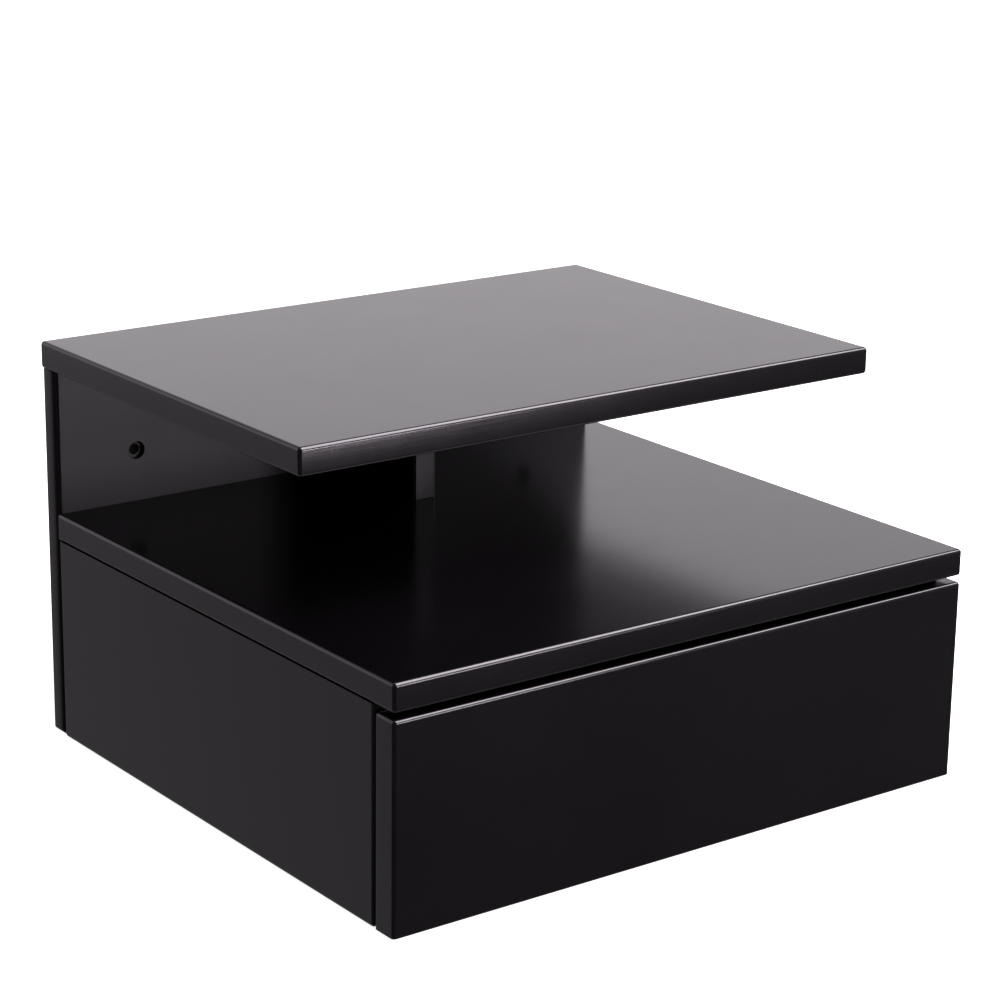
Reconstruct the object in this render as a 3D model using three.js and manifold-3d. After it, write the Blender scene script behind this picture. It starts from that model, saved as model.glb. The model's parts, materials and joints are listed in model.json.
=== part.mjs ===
// A wall-hung nightstand: two shelves on a back panel, a short divider between them,
// and a case with one drawer on roller runners.
// Millimetres. X is the width, the wall is at +Y, the drawer opens towards -Y, +Z is up.
// The origin is the middle of the footprint, at the lowest edge.
import * as THREE from "three";
import { RoundedBoxGeometry } from "three/addons/geometries/RoundedBoxGeometry.js";
import { mergeVertices } from "three/addons/utils/BufferGeometryUtils.js";
import Module from "manifold-3d";

const wasm = await Module();
wasm.setup();

// Overall sizes
const width = 370;
const depth = 340;
const height = 225;

// Boards of the case
const board = 15;
const topShelfDepth = 260;
const bayHeight = 80;
const dividerDepth = 87;
const backInset = 1;
const boardGap = 0.1;
const edgeRadius = 2;
const edgeSteps = 3;

// Drawer front
const frontBoard = 16;
const reveal = 3.5;
const frontGap = 1;
const frontLift = 0.5;

// Drawer box
const drawerBoard = 12;
const drawerRearRoom = 29;
const drawerHeadroom = 17;
const drawerEdgeRadius = 1;
const drawerEdgeSteps = 1;
const sideClearance = 12.5;
const bottomSheet = 3;
const bottomRise = 8;
const grooveDepth = 5;
const grooveClearance = 0.15;

// Holes for the wall screws
const wallHoleSpread = 270;
const wallHoleRise = 29;
const wallHoleRadius = 3;
const counterboreRadius = 4.75;
const counterboreDepth = 3;
const counterboreBreak = 0.4;
const wallHoleFacets = 24;

// Roller runners
const sheet = 1.2;
const bendRadius = 1.2;
const bendSteps = 3;
const runnerSetback = 2;
const runnerRearRoom = 56;
const drawerRunnerSetback = 0.5;
const runnerRise = 10;
const seatGap = 0.1;
const runningGap = 0.3;
const flangeGap = 0.8;
const webGap = 0.5;
const topFlangeReach = 9.5;
const topFlangeCutBack = 32;
const runningFlangeEdge = 2.4;
const drawerFlangeRise = 4.8;
const flangeRecess = 0.4;
const stopBack = 34;
const stopHeight = 4;
const stopWidth = 5;

// Rollers and their rivets
const rollerRadius = 9;
const rollerWidth = 6;
const rollerBoreClearance = 0.08;
const rollerHub = 4.6;
const rollerRim = 7.2;
const rollerRecess = 1.5;
const rollerBreak = 0.5;
const rollerInset = 12;
const rollerFacets = 20;
const rivetRadius = 2.5;
const rivetHeadRadius = 4;
const rivetHeadHeight = 1;
const rivetHeadBreak = 0.4;

// Cam locks and cam bolts
const camRadius = 7.5;
const camDepth = 12;
const drawerCamDepth = 10;
const camFromEdge = 24;
const camHollowRadius = 3.7;
const camHollowPast = 3.4;
const camSlotLength = 8;
const camSlotWidth = 1.4;
const camSlotDepth = 1.3;
const camFacets = 16;
const boltThreadRadius = 2.5;
const boltThreadLength = 10;
const boltCollarRadius = 3.4;
const boltCollarHeight = 1.5;
const boltShankRadius = 2.2;
const boltNeckRadius = 1.5;
const boltNeckLength = 3;
const boltHeadRadius = 3;
const boltHeadLength = 3;
const boltEndPast = 2.6;
const boltHoleRadius = 4;

// Connecting screws, drawer back screws and runner screws
const connectorLength = 45;
const connectorHeadRadius = 4;
const connectorShankRadius = 2.5;
const connectorHeadHeight = 3;
const backScrewLength = 35;
const backScrewHeadRadius = 3.2;
const backScrewShankRadius = 1.75;
const backScrewHeadHeight = 2.2;
const screwHeadRim = 0.5;
const screwSink = 0.2;
const screwPoint = 3;
const socketRadius = 1.6;
const socketDepth = 1.6;
const runnerScrewLength = 12;
const runnerScrewHeadRadius = 3.2;
const runnerScrewShankRadius = 1.75;
const runnerScrewHeadHeight = 1.5;
const runnerScrewHeadBreak = 0.6;
const runnerScrewPoint = 2;
const socketFacets = 6;
const fastenerFacets = 10;
const fastenerClearance = 0.15;

// Places of the fasteners
const frontCamBack = 33;
const rearCamAhead = 45;
const topCamSpread = 180;
const dividerCamBack = 42;
const dividerRearScrewRise = 20;
const dividerLowerScrewBack = 24;
const shelfScrewSpread = 190;
const sideScrewLowerRise = 28;
const sideScrewUpperDrop = 40;
const cabinetScrewFromFront = 34;
const cabinetScrewFromRear = 56;
const drawerScrewFromFront = 40;
const drawerScrewFromRear = 60;
const drawerScrewIn = 3.3;

// Reach of a cut past what it cuts, and the distance at which vertices are one
const overrun = 6;
const weld = 0.0001;

// Planes that the pieces share
const sideX = width / 2;
const innerX = sideX - board;
const panelMidX = sideX - board / 2;
const wallY = depth / 2;
const frontY = -depth / 2;
const backFaceY = wallY - board;
const drawerY = frontY + frontBoard;
const sideFrontY = drawerY + frontGap;
const dividerFrontY = backFaceY - dividerDepth;
const topUnderZ = height - board;
const shelfTopZ = topUnderZ - bayHeight;
const shelfUnderZ = shelfTopZ - board;

// Levels and distances inside a runner, from its web's outer face and its lower flange's underside
const rollerLevel = sheet + runningGap + rollerRadius;
const runningFlangeUnder = rollerLevel + rollerRadius + runningGap;
const runnerHeight = runningFlangeUnder + sheet + flangeGap + sheet;
const drawerWebInner = sideClearance - seatGap - seatGap;
const drawerWebOuter = drawerWebInner - sheet;
const lowerFlangeReach = drawerWebOuter - webGap;
const drawerRunnerTop = runningFlangeUnder + sheet;
const rivetReach = sheet + runningGap + rollerWidth + runningGap;
const cabinetRunnerY = sideFrontY + runnerSetback;
const runnerLength = backFaceY - runnerRearRoom - cabinetRunnerY;
const cabinetRollerY = cabinetRunnerY + rollerInset;
const drawerRollerY = drawerRunnerSetback + runnerLength - rollerInset;
const rollerZ = runnerRise + rollerLevel;

// Planes of the drawer, from the rear face of its front
const drawerHalf = innerX - sideClearance;
const drawerInnerHalf = drawerHalf - drawerBoard;
const drawerLength = backFaceY - drawerRearRoom - drawerY;
const drawerSideZ = runnerRise + drawerFlangeRise + sheet + seatGap;
const drawerSideTopZ = shelfUnderZ - drawerHeadroom;
const drawerMidZ = (drawerSideZ + drawerSideTopZ) / 2;
const drawerBackY = drawerLength - drawerBoard;
const bottomZ = drawerSideZ + bottomRise;
const bottomTopZ = bottomZ + bottomSheet;

// Directions
const right = new THREE.Vector3(1, 0, 0);
const left = new THREE.Vector3(-1, 0, 0);
const back = new THREE.Vector3(0, 1, 0);
const front = new THREE.Vector3(0, -1, 0);
const up = new THREE.Vector3(0, 0, 1);
const down = new THREE.Vector3(0, 0, -1);

// Materials
const blackLacquer = new THREE.MeshStandardMaterial({ color: 0x1a181a, roughness: 0.4, metalness: 0 });
const drawerFoil = new THREE.MeshStandardMaterial({ color: 0x2a2829, roughness: 0.6, metalness: 0 });
const bottomFoil = new THREE.MeshStandardMaterial({ color: 0x232122, roughness: 0.65, metalness: 0 });
const runnerPaint = new THREE.MeshStandardMaterial({ color: 0x1d1d1e, roughness: 0.45, metalness: 0.3 });
const nylon = new THREE.MeshStandardMaterial({ color: 0xd8d6cf, roughness: 0.5, metalness: 0 });
const zinc = new THREE.MeshStandardMaterial({ color: 0xb9bbbd, roughness: 0.35, metalness: 1 });

// The closed solid inside a three.js geometry.
function solidOf(geometry) {
  const bare = geometry.clone();
  bare.deleteAttribute("normal");
  bare.deleteAttribute("uv");
  const welded = mergeVertices(bare, weld);
  const corners = welded.index.array;
  const kept = [];
  for (let i = 0; i < corners.length; i += 3) {
    const [a, b, c] = corners.slice(i, i + 3);
    if (a !== b && b !== c && c !== a) kept.push(a, b, c);
  }
  return new wasm.Manifold(
    new wasm.Mesh({
      numProp: 3,
      vertProperties: new Float32Array(welded.attributes.position.array),
      triVerts: new Uint32Array(kept),
    }),
  );
}

// A named mesh of a solid.
function meshOf(name, solid, material) {
  const made = solid.getMesh();
  const geometry = new THREE.BufferGeometry();
  geometry.setAttribute("position", new THREE.BufferAttribute(made.vertProperties, 3));
  geometry.setIndex(new THREE.BufferAttribute(made.triVerts, 1));
  const faceted = geometry.toNonIndexed();
  faceted.computeVertexNormals();
  const mesh = new THREE.Mesh(faceted, material);
  mesh.name = name;
  return mesh;
}

// Sizes and middle of the box between three ranges.
function spanOf(ranges) {
  return {
    size: ranges.map(([low, high]) => high - low),
    middle: ranges.map(([low, high]) => (low + high) / 2),
  };
}

// A block with sharp edges.
function block(...ranges) {
  const { size, middle } = spanOf(ranges);
  const geometry = new THREE.BoxGeometry(...size);
  geometry.translate(...middle);
  return solidOf(geometry);
}

// A block with all its edges rounded.
function roundedBlock(ranges, radius, steps) {
  const { size, middle } = spanOf(ranges);
  const geometry = new RoundedBoxGeometry(...size, steps, radius);
  geometry.translate(...middle);
  return solidOf(geometry);
}

// A board with rounded edges, but sharp round each butted face, such as "+z", where it meets a neighbour.
function boardOf(ranges, butted, radius, steps) {
  const names = ["x", "y", "z"];
  const isButted = (axis, end) => butted.includes((end ? "+" : "-") + names[axis]);
  const moved = (by) => (range, axis) =>
    range.map((value, end) => value + by(isButted(axis, end)) * (end ? 1 : -1));
  const rounded = roundedBlock(
    ranges.map(moved((isSharp) => (isSharp ? radius : 0))),
    radius,
    steps,
  );
  const cut = ranges.map(moved((isSharp) => (isSharp ? 0 : overrun)));
  return butted.length ? rounded.intersect(block(...cut)) : rounded;
}

// A range of x on the left or the right, from two distances to the middle.
function sideRange(side, near, far) {
  return side < 0 ? [-far, -near] : [near, far];
}

// A solid of revolution about +Y, from pairs of radius and distance along the axis.
function turned(profile, facets) {
  const points = profile.map(([radius, along]) => new THREE.Vector2(radius, along));
  return solidOf(new THREE.LatheGeometry(points, facets));
}

// A plain cylinder about +Y between two distances.
function rod(radius, from, to, facets) {
  return turned(
    [
      [0, from],
      [radius, from],
      [radius, to],
      [0, to],
    ],
    facets,
  );
}

// Puts +Y along an axis and +X along a second direction, at a point.
function placement(at, axis, across) {
  const third = new THREE.Vector3().crossVectors(across, axis);
  return new THREE.Matrix4().makeBasis(across, axis, third).setPosition(...at);
}

// The outline of a folded sheet: a path through its middle, with an arc at each bend, given thickness.
function foldedOutline(path, thickness, radius, steps) {
  const points = path.map(([across, rise]) => new THREE.Vector2(across, rise));
  const leftOf = (way) => new THREE.Vector2(-way.y, way.x);
  const middle = [];
  points.forEach((point, i) => {
    const before = i > 0 ? point.clone().sub(points[i - 1]).normalize() : null;
    const after = i < points.length - 1 ? points[i + 1].clone().sub(point).normalize() : null;
    if (!before || !after) {
      middle.push({ point, normal: leftOf(before ?? after) });
      return;
    }
    const turn = Math.atan2(before.cross(after), before.dot(after));
    const setOff = radius * Math.tan(Math.abs(turn) / 2);
    const start = point.clone().addScaledVector(before, -setOff);
    const hub = start.clone().addScaledVector(leftOf(before), radius * Math.sign(turn));
    for (let step = 0; step <= steps; step += 1) {
      const angle = (turn * step) / steps;
      const normal = leftOf(before).rotateAround(new THREE.Vector2(), angle);
      middle.push({ point: hub.clone().addScaledVector(normal, -radius * Math.sign(turn)), normal });
    }
  });
  const offset = (distance) => middle.map(({ point, normal }) => point.clone().addScaledVector(normal, distance));
  return new THREE.Shape([...offset(-thickness / 2), ...offset(thickness / 2).reverse()]);
}

// A folded sheet profile, standing in X and Z and running along +Y.
function foldedProfile(path, length) {
  const outline = foldedOutline(path, sheet, bendRadius, bendSteps);
  const geometry = new THREE.ExtrudeGeometry(outline, { depth: length, bevelEnabled: false });
  geometry.rotateX(Math.PI / 2);
  geometry.translate(0, length, 0);
  return solidOf(geometry);
}

// A cross-shaped recess in a face at y = 0.
function crossRecess(length, slotWidth, slotDepth) {
  const long = [-length / 2, length / 2];
  const narrow = [-slotWidth / 2, slotWidth / 2];
  const sunk = [-overrun, slotDepth];
  return block(long, sunk, narrow).add(block(narrow, sunk, long));
}

// A cam lock that lies in its bore with its slotted face at y = 0 and takes the bolt from +X.
function camLock(bodyDepth, boltDepth) {
  const body = rod(camRadius - fastenerClearance, 0, bodyDepth, camFacets);
  const hollow = rod(camHollowRadius, -camHollowPast, camRadius + overrun, camFacets).transform(
    placement([0, boltDepth, 0], right, back).elements,
  );
  return {
    body: body.subtract(hollow).subtract(crossRecess(camSlotLength, camSlotWidth, camSlotDepth)),
    hole: rod(camRadius, -overrun, bodyDepth + fastenerClearance, camFacets),
    material: zinc,
  };
}

// A cam bolt whose collar rests on the surface at y = 0, with its thread behind and its head ahead.
function camBolt() {
  const end = camFromEdge + boltEndPast;
  const headStart = end - boltHeadLength;
  const neckStart = headStart - boltNeckLength;
  const collarEnd = boardGap + boltCollarHeight;
  const body = turned(
    [
      [0, -boltThreadLength],
      [boltThreadRadius, -boltThreadLength],
      [boltThreadRadius, boardGap],
      [boltCollarRadius, boardGap],
      [boltCollarRadius, collarEnd],
      [boltShankRadius, collarEnd],
      [boltShankRadius, neckStart],
      [boltNeckRadius, neckStart],
      [boltNeckRadius, headStart],
      [boltHeadRadius, headStart],
      [boltHeadRadius, end],
      [0, end],
    ],
    fastenerFacets,
  );
  const threadHole = boltThreadRadius + fastenerClearance;
  const threadHoleEnd = -boltThreadLength - fastenerClearance;
  const hole = turned(
    [
      [0, threadHoleEnd],
      [threadHole, threadHoleEnd],
      [threadHole, boardGap / 2],
      [boltHoleRadius, boardGap / 2],
      [boltHoleRadius, camFromEdge],
      [0, camFromEdge],
    ],
    fastenerFacets,
  );
  return { body, hole, material: zinc };
}

// A countersunk screw that enters a surface at y = 0 and runs along +Y.
function countersunkScrew(length, headRadius, shankRadius, headHeight) {
  const profile = (start, rim, clearance) => [
    [0, start],
    [headRadius + clearance, start],
    [headRadius + clearance, rim],
    [shankRadius + clearance, headHeight + clearance],
  ];
  const body = turned(
    [
      ...profile(screwSink, screwSink + screwHeadRim, 0),
      [shankRadius, length - screwPoint],
      [0, length],
    ],
    fastenerFacets,
  );
  const socket = rod(socketRadius, -overrun, screwSink + socketDepth, socketFacets);
  const hole = turned(
    [
      ...profile(-overrun, screwSink + screwHeadRim, fastenerClearance),
      [shankRadius + fastenerClearance, length + fastenerClearance],
      [0, length + fastenerClearance],
    ],
    fastenerFacets,
  );
  return { body: body.subtract(socket), hole, material: zinc };
}

// A pan-head screw whose head stands on the surface at y = 0.
function panHeadScrew(length) {
  const domeRadius = runnerScrewHeadRadius - runnerScrewHeadBreak;
  const body = turned(
    [
      [0, -runnerScrewHeadHeight],
      [domeRadius, -runnerScrewHeadHeight],
      [runnerScrewHeadRadius, -runnerScrewHeadHeight / 2],
      [runnerScrewHeadRadius, 0],
      [runnerScrewShankRadius, 0],
      [runnerScrewShankRadius, length - runnerScrewPoint],
      [0, length],
    ],
    fastenerFacets,
  );
  const socket = rod(socketRadius, -overrun, -runnerScrewHeadHeight / 2, socketFacets);
  const hole = rod(
    runnerScrewShankRadius + fastenerClearance,
    -overrun,
    length + fastenerClearance,
    fastenerFacets,
  );
  return { body: body.subtract(socket), hole, material: zinc };
}

// A rivet from the far face of a web at y = 0, through the roller, to a head.
function rollerRivet() {
  const headEnd = rivetReach + rivetHeadHeight;
  const body = turned(
    [
      [0, 0],
      [rivetRadius, 0],
      [rivetRadius, rivetReach],
      [rivetHeadRadius, rivetReach],
      [rivetHeadRadius, headEnd - rivetHeadBreak],
      [rivetHeadRadius - rivetHeadBreak, headEnd],
      [0, headEnd],
    ],
    fastenerFacets,
  );
  const hole = rod(rivetRadius + fastenerClearance, -overrun, rivetReach, fastenerFacets);
  return { body, hole, material: zinc };
}

// A nylon roller about +Y, with a recess between its hub and its rim on the open face.
function roller() {
  const rollerBore = rivetRadius + rollerBoreClearance;
  return turned(
    [
      [rollerBore, 0],
      [rollerRadius - rollerBreak, 0],
      [rollerRadius, rollerBreak],
      [rollerRadius, rollerWidth - rollerBreak],
      [rollerRadius - rollerBreak, rollerWidth],
      [rollerRim, rollerWidth],
      [rollerRim, rollerWidth - rollerRecess],
      [rollerHub, rollerWidth - rollerRecess],
      [rollerHub, rollerWidth],
      [rollerBore, rollerWidth],
      [rollerBore, 0],
    ],
    rollerFacets,
  );
}

// Holes made by the fasteners, each with the names of the pieces that it goes through.
const holes = [];

// Adds a fastener to a group and notes its hole.
function fasten(group, name, kind, place, pieces) {
  const mesh = meshOf(name, kind.body, kind.material);
  mesh.applyMatrix4(place);
  group.add(mesh);
  holes.push({ pieces, solid: kind.hole.transform(place.elements) });
}

// A piece with the holes of all its fasteners.
function drilled(name, solid) {
  return holes
    .filter((hole) => hole.pieces.includes(name))
    .reduce((rest, hole) => rest.subtract(hole.solid), solid);
}

const nightstand = new THREE.Group();
nightstand.name = "floating_nightstand";
const caseGroup = new THREE.Group();
caseGroup.name = "case";
const drawerGroup = new THREE.Group();
drawerGroup.name = "drawer";
drawerGroup.position.y = drawerY;
nightstand.add(caseGroup, drawerGroup);

const hands = [
  { hand: "left", side: -1, outward: left, inward: right },
  { hand: "right", side: 1, outward: right, inward: left },
];

const boardCam = camLock(camDepth, board / 2);
const drawerCam = camLock(drawerCamDepth, drawerBoard / 2);
const bolt = camBolt();
const connector = countersunkScrew(
  connectorLength,
  connectorHeadRadius,
  connectorShankRadius,
  connectorHeadHeight,
);
const backScrew = countersunkScrew(
  backScrewLength,
  backScrewHeadRadius,
  backScrewShankRadius,
  backScrewHeadHeight,
);
const runnerScrew = panHeadScrew(runnerScrewLength);
const rivet = rollerRivet();

// X of a distance from the outer face of a runner's web, on either side.
function runnerX(side, distance) {
  return side * (innerX - seatGap - distance);
}

// Cams and bolts that hang the side panels under the lower shelf.
function fastenSidePanels({ hand, side, outward }) {
  const panel = "side_panel_" + hand;
  const places = [
    ["front", sideFrontY + frontCamBack],
    ["rear", backFaceY - rearCamAhead],
  ];
  for (const [end, y] of places) {
    const camPlace = placement([side * innerX, y, shelfUnderZ - camFromEdge], outward, up);
    const boltPlace = placement([side * panelMidX, y, shelfUnderZ], down, right);
    fasten(caseGroup, "side_cam_" + hand + "_" + end, boardCam, camPlace, [panel]);
    fasten(caseGroup, "side_cam_bolt_" + hand + "_" + end, bolt, boltPlace, [panel, "lower_shelf"]);
  }
  const levels = [
    ["lower", sideScrewLowerRise],
    ["upper", shelfUnderZ - sideScrewUpperDrop],
  ];
  for (const [level, z] of levels) {
    const place = placement([side * panelMidX, wallY, z], front, right);
    fasten(caseGroup, "side_screw_" + hand + "_" + level, connector, place, [panel, "back_panel"]);
  }
}

// Cams and bolts that hold the top shelf to the back panel, and the screws of the lower shelf.
function fastenShelves({ hand, side }) {
  const camX = (side * topCamSpread) / 2;
  const camPlace = placement([camX, wallY, topUnderZ - camFromEdge], front, up);
  const boltPlace = placement([camX, wallY - board / 2, topUnderZ], down, right);
  const screwX = (side * shelfScrewSpread) / 2;
  const screwPlace = placement([screwX, wallY, shelfUnderZ + board / 2], front, right);
  fasten(caseGroup, "top_cam_" + hand, boardCam, camPlace, ["back_panel"]);
  fasten(caseGroup, "top_cam_bolt_" + hand, bolt, boltPlace, ["back_panel", "top_shelf"]);
  fasten(caseGroup, "shelf_screw_" + hand, connector, screwPlace, ["back_panel", "lower_shelf"]);
}

// The divider's cam and bolt above, and its screws from behind and from below.
function fastenDivider() {
  const camY = dividerFrontY + dividerCamBack;
  const camPlace = placement([board / 2, camY, topUnderZ - camFromEdge], left, up);
  const boltPlace = placement([0, camY, topUnderZ], down, right);
  const rearPlace = placement([0, wallY, shelfTopZ + dividerRearScrewRise], front, right);
  const lowerPlace = placement([0, dividerFrontY + dividerLowerScrewBack, shelfUnderZ], up, right);
  fasten(caseGroup, "divider_cam", boardCam, camPlace, ["divider"]);
  fasten(caseGroup, "divider_cam_bolt", bolt, boltPlace, ["divider", "top_shelf"]);
  fasten(caseGroup, "divider_rear_screw", connector, rearPlace, ["divider", "back_panel"]);
  fasten(caseGroup, "divider_lower_screw", connector, lowerPlace, ["divider", "lower_shelf"]);
}

// Screws and roller rivet of the runner member in the case.
function fastenCabinetRunner({ hand, side, outward, inward }) {
  const runner = "cabinet_runner_" + hand;
  const places = [
    ["front", cabinetRunnerY + cabinetScrewFromFront],
    ["rear", cabinetRunnerY + runnerLength - cabinetScrewFromRear],
  ];
  for (const [end, y] of places) {
    const place = placement([runnerX(side, sheet), y, rollerZ], outward, up);
    fasten(caseGroup, "cabinet_runner_screw_" + hand + "_" + end, runnerScrew, place, [
      runner,
      "side_panel_" + hand,
    ]);
  }
  const rivetPlace = placement([runnerX(side, 0), cabinetRollerY, rollerZ], inward, up);
  fasten(caseGroup, "cabinet_roller_rivet_" + hand, rivet, rivetPlace, [runner]);
}

// Cam, bolt and screw that hold a drawer side to the drawer's front and back.
function fastenDrawerSide({ hand, side, inward }) {
  const panel = "drawer_side_" + hand;
  const camPlace = placement([side * drawerHalf, camFromEdge, drawerMidZ], inward, front);
  const boltPlace = placement([side * (drawerHalf - drawerBoard / 2), 0, drawerMidZ], back, right);
  const screwPlace = placement(
    [side * drawerHalf, drawerBackY + drawerBoard / 2, drawerMidZ],
    inward,
    up,
  );
  fasten(drawerGroup, "drawer_cam_" + hand, drawerCam, camPlace, [panel]);
  fasten(drawerGroup, "drawer_cam_bolt_" + hand, bolt, boltPlace, [panel, "drawer_front"]);
  fasten(drawerGroup, "drawer_back_screw_" + hand, backScrew, screwPlace, [panel, "drawer_back"]);
}

// Screws and roller rivet of the runner member under the drawer side.
function fastenDrawerRunner({ hand, side, outward }) {
  const runner = "drawer_runner_" + hand;
  const places = [
    ["front", drawerRunnerSetback + drawerScrewFromFront],
    ["rear", drawerRunnerSetback + runnerLength - drawerScrewFromRear],
  ];
  for (const [end, y] of places) {
    const x = side * (drawerHalf - drawerScrewIn);
    const place = placement([x, y, runnerRise + drawerFlangeRise], up, right);
    fasten(drawerGroup, "drawer_runner_screw_" + hand + "_" + end, runnerScrew, place, [
      runner,
      "drawer_side_" + hand,
    ]);
  }
  const rivetPlace = placement([runnerX(side, drawerWebInner), drawerRollerY, rollerZ], outward, up);
  fasten(drawerGroup, "drawer_roller_rivet_" + hand, rivet, rivetPlace, [runner]);
}

// The upper shelf, resting on the back panel and the divider.
function topShelf() {
  const ranges = [
    [-sideX, sideX],
    [wallY - topShelfDepth, wallY],
    [topUnderZ, height],
  ];
  return boardOf(ranges, [], edgeRadius, edgeSteps);
}

// The board against the wall, with a counterbored hole near each end.
function backPanel() {
  const ranges = [
    [-sideX + backInset, sideX - backInset],
    [backFaceY, wallY],
    [0, topUnderZ - boardGap],
  ];
  const hole = turned(
    [
      [0, -overrun],
      [counterboreRadius + counterboreBreak, -overrun],
      [counterboreRadius + counterboreBreak, 0],
      [counterboreRadius, counterboreBreak],
      [counterboreRadius, counterboreDepth],
      [wallHoleRadius, counterboreDepth],
      [wallHoleRadius, board + overrun],
      [0, board + overrun],
    ],
    wallHoleFacets,
  );
  return hands.reduce((panel, { side }) => {
    const at = [(side * wallHoleSpread) / 2, backFaceY, shelfTopZ + wallHoleRise];
    return panel.subtract(hole.transform(placement(at, back, right).elements));
  }, boardOf(ranges, ["+z"], edgeRadius, edgeSteps));
}

// The short upright board between the shelves.
function divider() {
  const ranges = [
    [-board / 2, board / 2],
    [dividerFrontY, backFaceY - boardGap],
    [shelfTopZ + boardGap, topUnderZ - boardGap],
  ];
  return boardOf(ranges, ["+y", "-z", "+z"], edgeRadius, edgeSteps);
}

// The deep shelf that roofs the drawer case.
function lowerShelf() {
  const ranges = [
    [-sideX, sideX],
    [frontY, backFaceY - boardGap],
    [shelfUnderZ, shelfTopZ],
  ];
  return boardOf(ranges, ["+y"], edgeRadius, edgeSteps);
}

// A side of the drawer case.
function sidePanel(side) {
  const ranges = [
    sideRange(side, innerX, sideX),
    [sideFrontY, backFaceY - boardGap],
    [0, shelfUnderZ - boardGap],
  ];
  return boardOf(ranges, ["+z"], edgeRadius, edgeSteps);
}

// The drawer's front, with the groove that takes the drawer bottom.
function drawerFront() {
  const ranges = [
    [-sideX, sideX],
    [-frontBoard, 0],
    [frontLift, shelfUnderZ - reveal],
  ];
  return boardOf(ranges, ["-z"], edgeRadius, edgeSteps).subtract(bottomGroove());
}

// A side of the drawer box, with its groove.
function drawerSide(side) {
  const ranges = [
    sideRange(side, drawerInnerHalf, drawerHalf),
    [boardGap, drawerLength],
    [drawerSideZ, drawerSideTopZ],
  ];
  return boardOf(ranges, ["-y"], drawerEdgeRadius, drawerEdgeSteps).subtract(bottomGroove());
}

// The groove round the drawer for its bottom, as one slab.
function bottomGroove() {
  const reach = drawerInnerHalf + grooveDepth;
  return block(
    [-reach, reach],
    [-grooveDepth, drawerLength + overrun],
    [bottomZ - grooveClearance, bottomTopZ + grooveClearance],
  );
}

// The back of the drawer box, standing on the bottom between the sides.
function drawerBack() {
  const half = drawerInnerHalf - boardGap;
  const ranges = [
    [-half, half],
    [drawerBackY, drawerLength],
    [bottomTopZ + boardGap, drawerSideTopZ],
  ];
  return boardOf(ranges, ["-x", "+x"], drawerEdgeRadius, drawerEdgeSteps);
}

// The drawer bottom, a thin sheet in the grooves.
function drawerBottom() {
  const reach = drawerInnerHalf + grooveDepth - grooveClearance;
  return block([-reach, reach], [-grooveDepth + grooveClearance, drawerLength], [bottomZ, bottomTopZ]);
}

// Moves a runner member from its own place to its side of the nightstand.
function runnerOn(side, member, y) {
  return member.scale([-side, 1, 1]).translate([runnerX(side, 0), y, runnerRise]);
}

// The channel on the side panel: web, lower flange for the drawer's roller, upper flange that
// keeps the roller down, and the stop that ends the roller's travel.
function cabinetRunner(side) {
  const half = sheet / 2;
  const channel = foldedProfile(
    [
      [lowerFlangeReach, half],
      [half, half],
      [half, runnerHeight - half],
      [topFlangeReach, runnerHeight - half],
    ],
    runnerLength,
  );
  const bendEnd = half + bendRadius;
  const entry = block(
    [bendEnd, topFlangeReach + overrun],
    [-overrun, topFlangeCutBack],
    [runnerHeight - sheet - half, runnerHeight + overrun],
  );
  const stopFace = rollerInset + stopBack;
  const stop = block(
    [lowerFlangeReach - stopWidth, lowerFlangeReach],
    [stopFace - sheet, stopFace],
    [half, sheet + stopHeight],
  );
  return runnerOn(side, channel.subtract(entry).add(stop), cabinetRunnerY);
}

// The member under the drawer side: running flange over the rollers, web, and the flange
// that carries the drawer side.
function drawerRunner(side) {
  const half = sheet / 2;
  const webMid = drawerWebInner - half;
  const flangeEnd = drawerWebInner + drawerBoard - flangeRecess;
  const member = foldedProfile(
    [
      [runningFlangeEdge, drawerRunnerTop - half],
      [webMid, drawerRunnerTop - half],
      [webMid, drawerFlangeRise + half],
      [flangeEnd, drawerFlangeRise + half],
    ],
    runnerLength,
  );
  return runnerOn(side, member, drawerRunnerSetback);
}

// Adds a roller on its rivet, with its recessed face away from the web.
function addRoller(group, name, at, axis) {
  const mesh = meshOf(name, roller(), nylon);
  mesh.applyMatrix4(placement(at, axis, up));
  group.add(mesh);
}

// Fasteners come first, because each piece is drilled for them.
fastenDivider();
for (const one of hands) {
  fastenSidePanels(one);
  fastenShelves(one);
  fastenCabinetRunner(one);
  fastenDrawerSide(one);
  fastenDrawerRunner(one);
}

// Adds a drilled piece to a group.
function addPiece(group, name, solid, material) {
  group.add(meshOf(name, drilled(name, solid), material));
}

addPiece(caseGroup, "top_shelf", topShelf(), blackLacquer);
addPiece(caseGroup, "back_panel", backPanel(), blackLacquer);
addPiece(caseGroup, "divider", divider(), blackLacquer);
addPiece(caseGroup, "lower_shelf", lowerShelf(), blackLacquer);
addPiece(drawerGroup, "drawer_front", drawerFront(), blackLacquer);
addPiece(drawerGroup, "drawer_back", drawerBack(), drawerFoil);
addPiece(drawerGroup, "drawer_bottom", drawerBottom(), bottomFoil);

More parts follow.
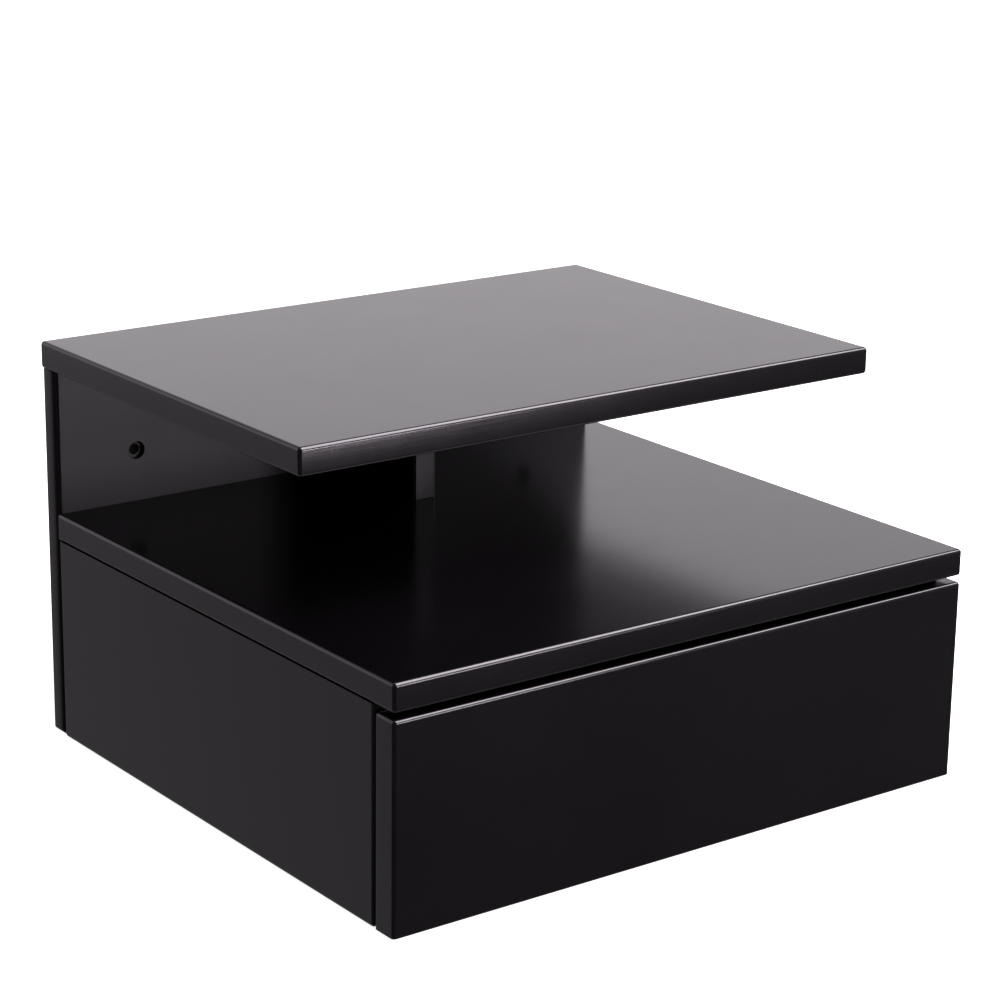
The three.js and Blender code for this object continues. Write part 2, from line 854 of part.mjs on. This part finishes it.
for (const { hand, side, outward, inward } of hands) {
  const cabinetRollerX = runnerX(side, sheet + runningGap);
  const drawerRollerX = runnerX(side, drawerWebOuter - runningGap);
  addPiece(caseGroup, "side_panel_" + hand, sidePanel(side), blackLacquer);
  addPiece(caseGroup, "cabinet_runner_" + hand, cabinetRunner(side), runnerPaint);
  addPiece(drawerGroup, "drawer_side_" + hand, drawerSide(side), drawerFoil);
  addPiece(drawerGroup, "drawer_runner_" + hand, drawerRunner(side), runnerPaint);
  addRoller(caseGroup, "cabinet_roller_" + hand, [cabinetRollerX, cabinetRollerY, rollerZ], inward);
  addRoller(drawerGroup, "drawer_roller_" + hand, [drawerRollerX, drawerRollerY, rollerZ], outward);
}

export default nightstand;
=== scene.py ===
import json
import math

import bpy
from mathutils import Matrix, Vector


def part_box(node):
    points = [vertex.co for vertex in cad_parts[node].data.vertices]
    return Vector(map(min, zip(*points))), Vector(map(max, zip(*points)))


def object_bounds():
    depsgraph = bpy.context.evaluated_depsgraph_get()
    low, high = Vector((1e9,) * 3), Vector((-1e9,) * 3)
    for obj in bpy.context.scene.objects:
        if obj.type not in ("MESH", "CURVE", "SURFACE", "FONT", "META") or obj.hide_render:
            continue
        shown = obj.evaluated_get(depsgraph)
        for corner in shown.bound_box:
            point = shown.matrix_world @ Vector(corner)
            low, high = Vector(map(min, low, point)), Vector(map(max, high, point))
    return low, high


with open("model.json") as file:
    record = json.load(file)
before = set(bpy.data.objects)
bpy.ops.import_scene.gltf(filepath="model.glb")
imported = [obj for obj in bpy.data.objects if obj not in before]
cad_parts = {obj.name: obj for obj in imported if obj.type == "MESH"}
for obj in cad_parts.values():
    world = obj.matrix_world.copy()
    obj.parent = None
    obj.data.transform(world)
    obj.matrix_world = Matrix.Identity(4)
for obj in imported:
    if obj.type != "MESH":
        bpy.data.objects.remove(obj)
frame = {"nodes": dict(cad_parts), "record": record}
cad_low, cad_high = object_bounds()
cad_middle = (cad_low + cad_high) / 2
cad_width = cad_high.x - cad_low.x

# Camera, from edges measured in the photograph: azimuth, elevation and roll in degrees, focal length
# in photograph pixels, width of its sensor in millimetres, its place in the part's frame in metres,
# and the nearest and farthest distance that it sees
PHOTO_SIZE = 1000
CAMERA_AZIMUTH = -36.77
CAMERA_ELEVATION = 16.65
CAMERA_ROLL = 0.83
FOCAL_PIXELS = 2898
SENSOR_WIDTH = 36
CAMERA_PLACE = Vector((-0.9013, -1.2085, 0.5969))
CLIP_START = 0.02
CLIP_END = 40

# Studio light: a colour for all of it, the brightness of the surroundings at heights from straight
# down (-1) to straight up (1), the share of it that is left in front of the object, and how far to
# the front and to the back that share fades, as a part of a direction of length 1
LIGHT_COLOUR = (1, 0.955, 1)
SURROUNDINGS = (
    (-1, 0.55),
    (-0.45, 0.28),
    (-0.29, 0.28),
    (0, 0.8),
    (0.17, 1.12),
    (0.33, 1.12),
    (0.6, 0.35),
    (1, 0.5),
)
BRIGHTEST = max(brightness for height, brightness in SURROUNDINGS)
FRONT_SHARE = 0.32
FRONT_REACH = 0.6

# The dim side of the surroundings, before the object's near corner: its azimuth in degrees, the share
# of light left in it, and where it begins and is full, as cosines of the angle from its middle
DIM_AZIMUTH = -53.2
DIM_SHARE = 0.15
DIM_BEGINS = 0.2
DIM_FULL = 0.55

# Softboxes that face the middle of the object: direction in degrees, sizes in metres, power in watts
KEY_LIGHT = {"azimuth": 44, "elevation": 54, "distance": 1.187, "width": 1.1, "height": 0.95, "watts": 41}
LOW_LIGHT = {"azimuth": 22.5, "elevation": 1.3, "distance": 1.62, "width": 0.45, "height": 0.24, "watts": 8}

# In the finishes, colours are linear, a pair of colours or roughnesses belongs to the first and the
# second kind of patch, and relief is in metres. A noise has a scale in waves to the metre, its detail
# in octaves, their roughness, and the stretch of its scale along X, Y and Z.

# Floor: half its side, how far it lies under the object, its own glow, and its paint
FLOOR_HALF = 24 * cad_width
FLOOR_DROP = 0.0002
FLOOR_GLOW = 0.9
FLOOR_IOR = 1.3
FLOOR_COLOURS = ((0.86, 0.86, 0.86), (0.90, 0.90, 0.90))
FLOOR_ROUGHNESS = (0.85, 0.95)
FLOOR_PATCHES = {"scale": 3, "detail": 4}

# Lacquer: its colours, the colour of rubbed edges, the tint of its reflections, and its roughness,
# which is higher on the dull faces inside the bays
LACQUER_IOR = 1.5
LACQUER_COLOURS = ((0.0014, 0.0011, 0.0014), (0.0023, 0.0019, 0.0023))
LACQUER_WORN = (0.0031, 0.0027, 0.0031)
LACQUER_TINT = (1, 0.95, 1, 1)
LACQUER_ROUGHNESS = (0.165, 0.19)
BAY_ROUGHNESS = (0.38, 0.44)
LACQUER_PATCHES = {"scale": 7, "detail": 4}
HANDLED_PATCHES = {"scale": 38, "detail": 5, "roughness": 0.6}

# Relief of the lacquer: streaks from sanding, deeper on the shelves than on other boards, waves, and
# orange peel
SANDING = {"scale": 900, "detail": 3, "roughness": 0.6, "stretch": (0.03, 0.03, 1)}
SANDING_RELIEF = 0.000007
SHELF_SANDING_RELIEF = 0.00002
WAVES = {"scale": 22, "detail": 2}
WAVE_RELIEF = 0.00002
ORANGE_PEEL = {"scale": 820, "detail": 2}
ORANGE_PEEL_RELIEF = 0.000003

# How far the front edges of the two shelves lean back at their top, and how far the ends of the back
# panel fall back towards its front, as slopes, and the powers of the curves that the two kinds follow
TOP_SHELF_LEAN = 0.05
LOWER_SHELF_LEAN = 0.035
SHELF_CURVE = 2
BACK_PANEL_LEAN = 0.9
BACK_PANEL_CURVE = 4

# Wall holes: the room from a corner of the screw's opening to just outside the bore, and how far
# from there their mask fades
WALL_HOLE_ROOM = 0.0003
WALL_HOLE_FADE = 0.00016

# Foil on the boards of the drawer
FOIL_IOR = 1.45
FOIL_COLOURS = ((0.016, 0.0145, 0.015), (0.030, 0.0275, 0.0285))
FOIL_ROUGHNESS = (0.5, 0.62)
FOIL_GRAIN = {"scale": 260, "detail": 5, "roughness": 0.6, "stretch": (1, 0.06, 1)}
FOIL_RELIEF = 0.00004

# Foil on the drawer's bottom
BOTTOM_COLOURS = ((0.013, 0.012, 0.0125), (0.020, 0.0185, 0.019))
BOTTOM_ROUGHNESS = (0.55, 0.68)
BOTTOM_PATCHES = {"scale": 12, "detail": 4}
BOTTOM_LEATHER = {"scale": 900, "detail": 3}
BOTTOM_RELIEF = 0.00003

# Powder coat on the runners, the steel under it, and how wide its folds are rubbed
COAT_IOR = 1.5
COAT_COLOUR = (0.014, 0.014, 0.015)
BARE_STEEL = (0.22, 0.22, 0.225)
COAT_ROUGHNESS = (0.38, 0.55)
COAT_PEBBLES = {"scale": 1500, "detail": 3}
COAT_RELIEF = 0.00002
COAT_SCUFFS = {"scale": 90, "detail": 4}
FOLD_RADIUS = 0.0006

# Nylon: the share of light that scatters inside it, and how far
NYLON_IOR = 1.53
NYLON_SCATTER = 0.15
NYLON_REACH = 0.001
NYLON_COLOURS = ((0.66, 0.64, 0.58), (0.74, 0.72, 0.67))
NYLON_ROUGHNESS = (0.35, 0.5)
NYLON_PATCHES = {"scale": 160, "detail": 4}
NYLON_GRAIN = {"scale": 1300, "detail": 2}
NYLON_RELIEF = 0.00001

# Zinc: the painted shade in its slots, and how near their walls it lies
ZINC_COLOURS = ((0.56, 0.57, 0.60), (0.74, 0.74, 0.75))
# painted shade: the dark colour that the zinc takes deep in its slots
ZINC_SLOT_SHADE = (0.02, 0.02, 0.02)
ZINC_ROUGHNESS = (0.3, 0.44)
ZINC_PATCHES = {"scale": 420, "detail": 4, "roughness": 0.6}
ZINC_GRAIN = {"scale": 1800, "detail": 2}
ZINC_RELIEF = 0.000005
SLOT_REACH = 0.0022

# Where each mask begins and where it is full: patches and scuffs as levels of a noise, open places as
# a share of open sky, edges as the cosine between the rounded normal and the true one, and the others
# by the parts of the true one
PATCH_RANGE = (0.3, 0.7)
SCUFF_RANGE = (0.5, 0.62)
OPEN_RANGE = (0.25, 0.85)
EDGE_RANGE = (1.0, 0.85)
ROUNDING_RANGE = (0.995, 0.85)
FRONT_RANGE = (-0.9, -0.99)
SIDE_RANGE = (0.8, 0.98)
MASK_SAMPLES = 6

# Soft shading of the CAD nodes: the weld distance in metres and the largest smoothed angle in degrees
WELD_DISTANCE = 0.000002
SMOOTH_ANGLE = 40

# The numbers of a Mix node's sockets: its factor, its two vectors, its two colours and their results
MIX_FACTOR = 0
MIX_VECTORS = (4, 5)
MIX_COLOURS = (6, 7)
VECTOR_RESULT = 1
COLOUR_RESULT = 2

WHITE = (1, 1, 1, 1)


# Adds a node and sets the inputs in values, each by its name or its number.
def node(tree, kind, values=None, **settings):
    made = tree.nodes.new(kind)
    for name, value in settings.items():
        setattr(made, name, value)
    for name, value in (values or {}).items():
        made.inputs[name].default_value = value
    return made


# A new material with its tree, its shader and its output joined.
def new_material(name, values):
    material = bpy.data.materials.new(name)
    material.use_nodes = True
    tree = material.node_tree
    tree.nodes.clear()
    shader = node(tree, "ShaderNodeBsdfPrincipled", values)
    output = node(tree, "ShaderNodeOutputMaterial")
    tree.links.new(shader.outputs["BSDF"], output.inputs["Surface"])
    return material, tree, shader


# Joins a colour, a roughness and a normal to a shader.
def finish(tree, shader, colour, roughness, normal):
    tree.links.new(colour, shader.inputs["Base Color"])
    tree.links.new(roughness, shader.inputs["Roughness"])
    tree.links.new(normal, shader.inputs["Normal"])


# Noise over the piece's own coordinates, in metres.
def noise(tree, scale, detail, roughness=0.5, stretch=(1, 1, 1)):
    coordinates = node(tree, "ShaderNodeTexCoord")
    mapping = node(tree, "ShaderNodeMapping", {"Scale": stretch})
    shape = {"Scale": scale, "Detail": detail, "Roughness": roughness}
    texture = node(tree, "ShaderNodeTexNoise", shape)
    tree.links.new(coordinates.outputs["Object"], mapping.inputs["Vector"])
    tree.links.new(mapping.outputs["Vector"], texture.inputs["Vector"])
    return texture.outputs["Fac"]


# Maps a value between two limits to a new range, and holds it there.
def spread(tree, value, low, high, to_low=0, to_high=1):
    limits = {"From Min": low, "From Max": high, "To Min": to_low, "To Max": to_high}
    ranged = node(tree, "ShaderNodeMapRange", limits, clamp=True)
    tree.links.new(value, ranged.inputs["Value"])
    return ranged.outputs["Result"]


# Turns a noise into patches that pass from one value to another.
def patches(tree, texture, first=0, second=1):
    return spread(tree, texture, *PATCH_RANGE, first, second)


# Mixes two colours by a value. Each is three numbers or the output of a node.
def mixed(tree, value, first, second):
    mix = node(tree, "ShaderNodeMix", data_type="RGBA")
    tree.links.new(value, mix.inputs[MIX_FACTOR])
    for place, colour in zip(MIX_COLOURS, (first, second)):
        if isinstance(colour, tuple):
            mix.inputs[place].default_value = (*colour, 1)
        else:
            tree.links.new(colour, mix.inputs[place])
    return mix.outputs[COLOUR_RESULT]


# Mixes two normals by a value.
def mixed_normals(tree, value, first, second):
    mix = node(tree, "ShaderNodeMix", data_type="VECTOR")
    tree.links.new(value, mix.inputs[MIX_FACTOR])
    for place, normal in zip(MIX_VECTORS, (first, second)):
        tree.links.new(normal, mix.inputs[place])
    return mix.outputs[VECTOR_RESULT]


# The result of a calculation with two values.
def calculated(tree, operation, first, second):
    made = node(tree, "ShaderNodeMath", operation=operation)
    tree.links.new(first, made.inputs[0])
    tree.links.new(second, made.inputs[1])
    return made.outputs[0]


# The X, Y and Z of a vector.
def parts(tree, vector):
    made = node(tree, "ShaderNodeSeparateXYZ")
    tree.links.new(vector, made.inputs[0])
    return made.outputs


# Puts a bump over the normal that comes in, its height in metres.
def bump(tree, height, distance, normal=None):
    made = node(tree, "ShaderNodeBump", {"Strength": 1, "Distance": distance})
    tree.links.new(height, made.inputs["Height"])
    if normal:
        tree.links.new(normal, made.inputs["Normal"])
    return made.outputs["Normal"]


# How near a place is to an edge, from 0 on a flat face to 1 on the edge itself.
def edge_mask(tree, radius):
    bevel = node(tree, "ShaderNodeBevel", {"Radius": radius}, samples=MASK_SAMPLES)
    geometry = node(tree, "ShaderNodeNewGeometry")
    dot = node(tree, "ShaderNodeVectorMath", operation="DOT_PRODUCT")
    tree.links.new(bevel.outputs["Normal"], dot.inputs[0])
    tree.links.new(geometry.outputs["Normal"], dot.inputs[1])
    return spread(tree, dot.outputs["Value"], *EDGE_RANGE)


# The rounded edges of a board that lies along the axes, where the surface faces along none of them.
def rounding_mask(tree):
    geometry = node(tree, "ShaderNodeNewGeometry")
    size = node(tree, "ShaderNodeVectorMath", operation="ABSOLUTE")
    tree.links.new(geometry.outputs["Normal"], size.inputs[0])
    along = parts(tree, size.outputs["Vector"])
    flat = calculated(tree, "MAXIMUM", calculated(tree, "MAXIMUM", along["X"], along["Y"]), along["Z"])
    return spread(tree, flat, *ROUNDING_RANGE)


# Where a surface faces the front, from 0 to 1.
def front_mask(tree):
    geometry = node(tree, "ShaderNodeNewGeometry")
    facing = parts(tree, geometry.outputs["Normal"])["Y"]
    return spread(tree, facing, *FRONT_RANGE)


# Where a surface faces left or right, from 0 to 1.
def side_mask(tree):
    geometry = node(tree, "ShaderNodeNewGeometry")
    facing = parts(tree, geometry.outputs["Normal"])["X"]
    return spread(tree, calculated(tree, "MULTIPLY", facing, facing), *SIDE_RANGE)


# How open a place is, from 0 deep in a slot or a corner to 1 on an open face.
def openness(tree, reach):
    shelter = node(tree, "ShaderNodeAmbientOcclusion", {"Distance": reach}, samples=MASK_SAMPLES)
    return spread(tree, shelter.outputs["AO"], *OPEN_RANGE)


# The insides of the wall holes, from 0 to 1. The holes mirror each other, and the opening that the
# record keeps free in one is a square inside its bore.
def wall_hole_mask(tree):
    openings = frame["record"]["physics"]["openings"]
    box = next(opening["box_m"] for opening in openings if opening["name"] == "wall_hole_right")
    low, high = [Vector(corner) for corner in box]
    middle = (low + high) / 2
    radius = math.hypot(high.x - middle.x, high.z - middle.z) + WALL_HOLE_ROOM
    coordinates = node(tree, "ShaderNodeTexCoord")
    place = node(tree, "ShaderNodeVectorMath", operation="ABSOLUTE")
    tree.links.new(coordinates.outputs["Object"], place.inputs[0])
    across = node(tree, "ShaderNodeVectorMath", {1: (1, 0, 1)}, operation="MULTIPLY")
    tree.links.new(place.outputs["Vector"], across.inputs[0])
    distance = node(tree, "ShaderNodeVectorMath", {1: (middle.x, 0, middle.z)}, operation="DISTANCE")
    tree.links.new(across.outputs["Vector"], distance.inputs[0])
    return spread(tree, distance.outputs["Value"], radius, radius + WALL_HOLE_FADE, 1, 0)


# Tilts the masked faces of a board back along an axis, by a slope that grows from none at the start,
# so that the faces follow a curve of the given power.
def leaning(tree, normal, mask, axis, start, end, lean, power):
    coordinates = node(tree, "ShaderNodeTexCoord")
    place = parts(tree, coordinates.outputs["Object"])[axis]
    curve = node(tree, "ShaderNodeMath", {1: power}, operation="POWER")
    tree.links.new(spread(tree, place, start, end), curve.inputs[0])
    leaned = bump(tree, curve.outputs[0], -lean * abs(end - start) / power, normal)
    return mixed_normals(tree, mask, normal, leaned)


# Satin black lacquer on fibreboard: orange peel, sanding streaks along the boards, rubbed edges.
def black_lacquer(name, sanding=SANDING_RELIEF):
    values = {"IOR": LACQUER_IOR, "Specular Tint": LACQUER_TINT}
    material, tree, shader = new_material(name, values)
    faces = mixed(tree, patches(tree, noise(tree, **LACQUER_PATCHES)), *LACQUER_COLOURS)
    colour = mixed(tree, rounding_mask(tree), faces, LACQUER_WORN)
    roughness = patches(tree, noise(tree, **HANDLED_PATCHES), *LACQUER_ROUGHNESS)
    streaks = bump(tree, noise(tree, **SANDING), sanding)
    waves = bump(tree, noise(tree, **WAVES), WAVE_RELIEF, streaks)
    normal = bump(tree, noise(tree, **ORANGE_PEEL), ORANGE_PEEL_RELIEF, waves)
    finish(tree, shader, colour, roughness, normal)
    return material, tree, shader


# The lacquer of a shelf, whose front edge is rubbed to a slight lean.
def shelf_lacquer(shelf, lean):
    low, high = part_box(shelf)
    material, tree, shader = black_lacquer(shelf + "_finish", SHELF_SANDING_RELIEF)
    normal = shader.inputs["Normal"].links[0].from_socket
    leaned = leaning(tree, normal, front_mask(tree), "Z", low.z, high.z, lean, SHELF_CURVE)
    tree.links.new(leaned, shader.inputs["Normal"])
    return material


# The lacquer of the boards inside the bays, dull on the faces turned to the front, raw in the wall holes.
def bay_lacquer(board):
    material, tree, shader = black_lacquer(board + "_finish")
    glossy = shader.inputs["Roughness"].links[0].from_socket
    dull = patches(tree, noise(tree, **HANDLED_PATCHES), *BAY_ROUGHNESS)
    front = calculated(tree, "MULTIPLY", dull, front_mask(tree))
    painted = calculated(tree, "MAXIMUM", glossy, front)
    roughness = calculated(tree, "MAXIMUM", painted, wall_hole_mask(tree))
    tree.links.new(roughness, shader.inputs["Roughness"])
    return material, tree, shader


# The lacquer of the back panel, whose ends are rubbed to a slight fall towards its front.
def back_panel_lacquer():
    low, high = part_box("back_panel")
    material, tree, shader = bay_lacquer("back_panel")
    normal = shader.inputs["Normal"].links[0].from_socket
    ends = side_mask(tree)
    leaned = leaning(tree, normal, ends, "Y", high.y, low.y, BACK_PANEL_LEAN, BACK_PANEL_CURVE)
    tree.links.new(leaned, shader.inputs["Normal"])
    return material


# Dark foil on the drawer's boards: a fine grain along the drawer's depth.
def drawer_foil():
    material, tree, shader = new_material("drawer_foil_finish", {"IOR": FOIL_IOR})
    grain = noise(tree, **FOIL_GRAIN)
    colour = mixed(tree, patches(tree, grain), *FOIL_COLOURS)
    finish(tree, shader, colour, patches(tree, grain, *FOIL_ROUGHNESS), bump(tree, grain, FOIL_RELIEF))
    return material


# Matt foil on the thin drawer bottom, with a fine leather relief.
def bottom_foil():
    material, tree, shader = new_material("bottom_foil_finish", {"IOR": FOIL_IOR})
    leather = noise(tree, **BOTTOM_LEATHER)
    colour = mixed(tree, patches(tree, noise(tree, **BOTTOM_PATCHES)), *BOTTOM_COLOURS)
    roughness = patches(tree, leather, *BOTTOM_ROUGHNESS)
    finish(tree, shader, colour, roughness, bump(tree, leather, BOTTOM_RELIEF))
    return material


# Black powder coat on the runners, with bare steel where the folds are rubbed.
def runner_steel():
    material, tree, shader = new_material("runner_steel_finish", {"IOR": COAT_IOR})
    pebble = noise(tree, **COAT_PEBBLES)
    scuffs = spread(tree, noise(tree, **COAT_SCUFFS), *SCUFF_RANGE)
    rubbed = calculated(tree, "MULTIPLY", edge_mask(tree, FOLD_RADIUS), scuffs)
    colour = mixed(tree, rubbed, COAT_COLOUR, BARE_STEEL)
    finish(tree, shader, colour, patches(tree, pebble, *COAT_ROUGHNESS), bump(tree, pebble, COAT_RELIEF))
    tree.links.new(rubbed, shader.inputs["Metallic"])
    return material


# Natural nylon of the rollers.
def nylon():
    values = {"IOR": NYLON_IOR, "Subsurface Weight": NYLON_SCATTER, "Subsurface Scale": NYLON_REACH}
    material, tree, shader = new_material("nylon_finish", values)
    clouds = noise(tree, **NYLON_PATCHES)
    colour = mixed(tree, patches(tree, clouds), *NYLON_COLOURS)
    relief = bump(tree, noise(tree, **NYLON_GRAIN), NYLON_RELIEF)
    finish(tree, shader, colour, patches(tree, clouds, *NYLON_ROUGHNESS), relief)
    return material


# Bright zinc on screws, cams, bolts and rivets: dull patches, and painted shade in the cross slots.
def zinc():
    material, tree, shader = new_material("zinc_finish", {"Metallic": 1})
    dulled = noise(tree, **ZINC_PATCHES)
    bright = mixed(tree, patches(tree, dulled), *ZINC_COLOURS)
    # painted shade: the colour darkens where ambient occlusion finds the slot walls near
    colour = mixed(tree, openness(tree, SLOT_REACH), ZINC_SLOT_SHADE, bright)
    relief = bump(tree, noise(tree, **ZINC_GRAIN), ZINC_RELIEF)
    finish(tree, shader, colour, patches(tree, dulled, *ZINC_ROUGHNESS), relief)
    return material


# A modifier tree that joins the triangles of a mesh and shades it smooth up to a given angle.
def soft_shading():
    tree = bpy.data.node_groups.new("soft_shading", "GeometryNodeTree")
    tree.interface.new_socket("Geometry", in_out="INPUT", socket_type="NodeSocketGeometry")
    tree.interface.new_socket("Geometry", in_out="OUTPUT", socket_type="NodeSocketGeometry")
    came = node(tree, "NodeGroupInput")
    joined = node(tree, "GeometryNodeMergeByDistance", {"Distance": WELD_DISTANCE})
    smooth = node(tree, "GeometryNodeSetShadeSmooth", {"Shade Smooth": True}, domain="FACE")
    angle = node(tree, "GeometryNodeInputMeshEdgeAngle")
    largest = math.radians(SMOOTH_ANGLE)
    sharp = node(tree, "FunctionNodeCompare", {1: largest}, operation="GREATER_THAN")
    crisp = node(tree, "GeometryNodeSetShadeSmooth", {"Shade Smooth": False}, domain="EDGE")
    left = node(tree, "NodeGroupOutput")
    tree.links.new(came.outputs[0], joined.inputs["Geometry"])
    tree.links.new(joined.outputs["Geometry"], smooth.inputs["Geometry"])
    tree.links.new(smooth.outputs["Geometry"], crisp.inputs["Geometry"])
    tree.links.new(angle.outputs["Unsigned Angle"], sharp.inputs[0])
    tree.links.new(sharp.outputs["Result"], crisp.inputs["Selection"])
    tree.links.new(crisp.outputs["Geometry"], left.inputs[0])
    return tree


# Shades a CAD node smoothly round its edges and keeps its flat faces flat. Its mesh stays as it is.
def soften(piece, tree):
    shading = piece.modifiers.new("soft_shading", "NODES")
    shading.node_group = tree
    weighted = piece.modifiers.new("flat_faces", "WEIGHTED_NORMAL")
    weighted.mode = "FACE_AREA"
    weighted.keep_sharp = True


# Gives each CAD node its own finish or that of its slot in the record, and soft shading.
def dress_frame():
    finishes = {
        "black_lacquer": black_lacquer("black_lacquer_finish")[0],
        "drawer_foil": drawer_foil(),
        "bottom_foil": bottom_foil(),
        "runner_steel": runner_steel(),
        "nylon": nylon(),
        "zinc": zinc(),
    }
    own_finishes = {
        "top_shelf": shelf_lacquer("top_shelf", TOP_SHELF_LEAN),
        "lower_shelf": shelf_lacquer("lower_shelf", LOWER_SHELF_LEAN),
        "back_panel": back_panel_lacquer(),
        "divider": bay_lacquer("divider")[0],
    }
    shading = soft_shading()
    for entry in frame["record"]["subparts"]:
        name = entry["node"]
        piece = frame["nodes"][name]
        soften(piece, shading)
        for place in piece.material_slots:
            place.material = own_finishes.get(name, finishes[entry["material_slot"]])


# The floor's finish: pale paint with a glow of its own, clear from below.
def floor_finish():
    values = {"IOR": FLOOR_IOR, "Emission Color": WHITE, "Emission Strength": FLOOR_GLOW}
    material, tree, shader = new_material("floor_finish", values)
    paint = noise(tree, **FLOOR_PATCHES)
    tree.links.new(mixed(tree, patches(tree, paint), *FLOOR_COLOURS), shader.inputs["Base Color"])
    tree.links.new(patches(tree, paint, *FLOOR_ROUGHNESS), shader.inputs["Roughness"])
    clear = node(tree, "ShaderNodeBsdfTransparent")
    sides = node(tree, "ShaderNodeNewGeometry")
    mix = node(tree, "ShaderNodeMixShader")
    output = next(made for made in tree.nodes if made.type == "OUTPUT_MATERIAL")
    tree.links.new(sides.outputs["Backfacing"], mix.inputs[0])
    tree.links.new(shader.outputs["BSDF"], mix.inputs[1])
    tree.links.new(clear.outputs["BSDF"], mix.inputs[2])
    tree.links.new(mix.outputs["Shader"], output.inputs["Surface"])
    return material


# A pale floor that glossy surfaces don't mirror.
def add_floor():
    turns = ((-1, -1), (1, -1), (1, 1), (-1, 1))
    level = cad_low.z - FLOOR_DROP
    corners = [(x * FLOOR_HALF, y * FLOOR_HALF, level) for x, y in turns]
    mesh = bpy.data.meshes.new("floor")
    mesh.from_pydata(corners, [], [(0, 1, 2, 3)])
    mesh.materials.append(floor_finish())
    floor = bpy.data.objects.new("floor", mesh)
    floor.visible_glossy = False
    bpy.context.scene.collection.objects.link(floor)


# The direction from the object towards a viewer or a light, at an azimuth and elevation in degrees.
def direction(azimuth, elevation):
    turn = math.radians(azimuth)
    rise = math.radians(elevation)
    level = math.cos(rise)
    return Vector((math.sin(turn) * level, -math.cos(turn) * level, math.sin(rise)))


# The brightness of the surroundings at a height, as a share of the brightest.
def brightness_by_height(tree, height):
    ramp = node(tree, "ShaderNodeValToRGB")
    steps = ramp.color_ramp.elements
    while len(steps) < len(SURROUNDINGS):
        steps.new(1)
    for step, (place, brightness) in zip(steps, SURROUNDINGS):
        step.position = (place + 1) / 2
        step.color = (*[brightness / BRIGHTEST] * 3, 1)
    tree.links.new(spread(tree, height, -1, 1), ramp.inputs[0])
    return ramp.outputs["Color"]


# The share of light that is left towards the object's near corner.
def dim_side(tree, towards):
    middle = direction(DIM_AZIMUTH, 0)
    turned = node(tree, "ShaderNodeVectorMath", {1: middle}, operation="DOT_PRODUCT")
    tree.links.new(towards, turned.inputs[0])
    return spread(tree, turned.outputs["Value"], DIM_BEGINS, DIM_FULL, 1, DIM_SHARE)


# Soft studio surroundings: brightest low behind the object, dim in front and below, dimmest before the
# near corner. The camera sees plain white.
def light_surroundings():
    world = bpy.data.worlds.new("studio")
    bpy.context.scene.world = world
    world.use_nodes = True
    tree = world.node_tree
    tree.nodes.clear()
    towards = node(tree, "ShaderNodeTexCoord").outputs["Generated"]
    along = parts(tree, towards)
    front = spread(tree, along["Y"], -FRONT_REACH, FRONT_REACH, FRONT_SHARE, 1)
    level = calculated(tree, "MULTIPLY", front, brightness_by_height(tree, along["Z"]))
    dimmed = calculated(tree, "MULTIPLY", level, dim_side(tree, towards))
    shade = node(tree, "ShaderNodeBackground", {"Color": (*LIGHT_COLOUR, 1)})
    tree.links.new(spread(tree, dimmed, 0, 1, 0, BRIGHTEST), shade.inputs["Strength"])
    plain = node(tree, "ShaderNodeBackground", {"Color": WHITE, "Strength": 1})
    path = node(tree, "ShaderNodeLightPath")
    mix = node(tree, "ShaderNodeMixShader")
    output = node(tree, "ShaderNodeOutputWorld")
    tree.links.new(path.outputs["Is Camera Ray"], mix.inputs[0])
    tree.links.new(shade.outputs[0], mix.inputs[1])
    tree.links.new(plain.outputs[0], mix.inputs[2])
    tree.links.new(mix.outputs[0], output.inputs["Surface"])


# A softbox that faces the middle of the object.
def softbox(name, azimuth, elevation, distance, width, height, watts):
    data = bpy.data.lights.new(name, "AREA")
    data.shape = "RECTANGLE"
    data.size = width
    data.size_y = height
    data.energy = watts
    data.color = LIGHT_COLOUR
    lamp = bpy.data.objects.new(name, data)
    towards = direction(azimuth, elevation)
    lamp.location = cad_middle + distance * towards
    lamp.rotation_mode = "QUATERNION"
    lamp.rotation_quaternion = (-towards).to_track_quat("-Z", "Y")
    bpy.context.scene.collection.objects.link(lamp)


# The camera at the photograph's angle.
def add_camera():
    roll = math.radians(CAMERA_ROLL)
    back = direction(CAMERA_AZIMUTH, CAMERA_ELEVATION)
    level = Vector((0, 0, 1)).cross(back).normalized()
    upright = back.cross(level)
    right = math.cos(roll) * level + math.sin(roll) * upright
    above = back.cross(right)
    data = bpy.data.cameras.new("photo_camera")
    data.sensor_width = SENSOR_WIDTH
    data.lens = FOCAL_PIXELS / PHOTO_SIZE * SENSOR_WIDTH
    data.clip_start = CLIP_START
    data.clip_end = CLIP_END
    camera = bpy.data.objects.new("photo_camera", data)
    turn = Matrix((right, above, back)).transposed().to_4x4()
    camera.matrix_world = Matrix.Translation(CAMERA_PLACE) @ turn
    bpy.context.scene.collection.objects.link(camera)
    bpy.context.scene.camera = camera


dress_frame()
add_floor()
light_surroundings()
softbox("key_light", **KEY_LIGHT)
softbox("low_light", **LOW_LIGHT)
add_camera()
bpy.context.scene.view_settings.view_transform = "Standard"
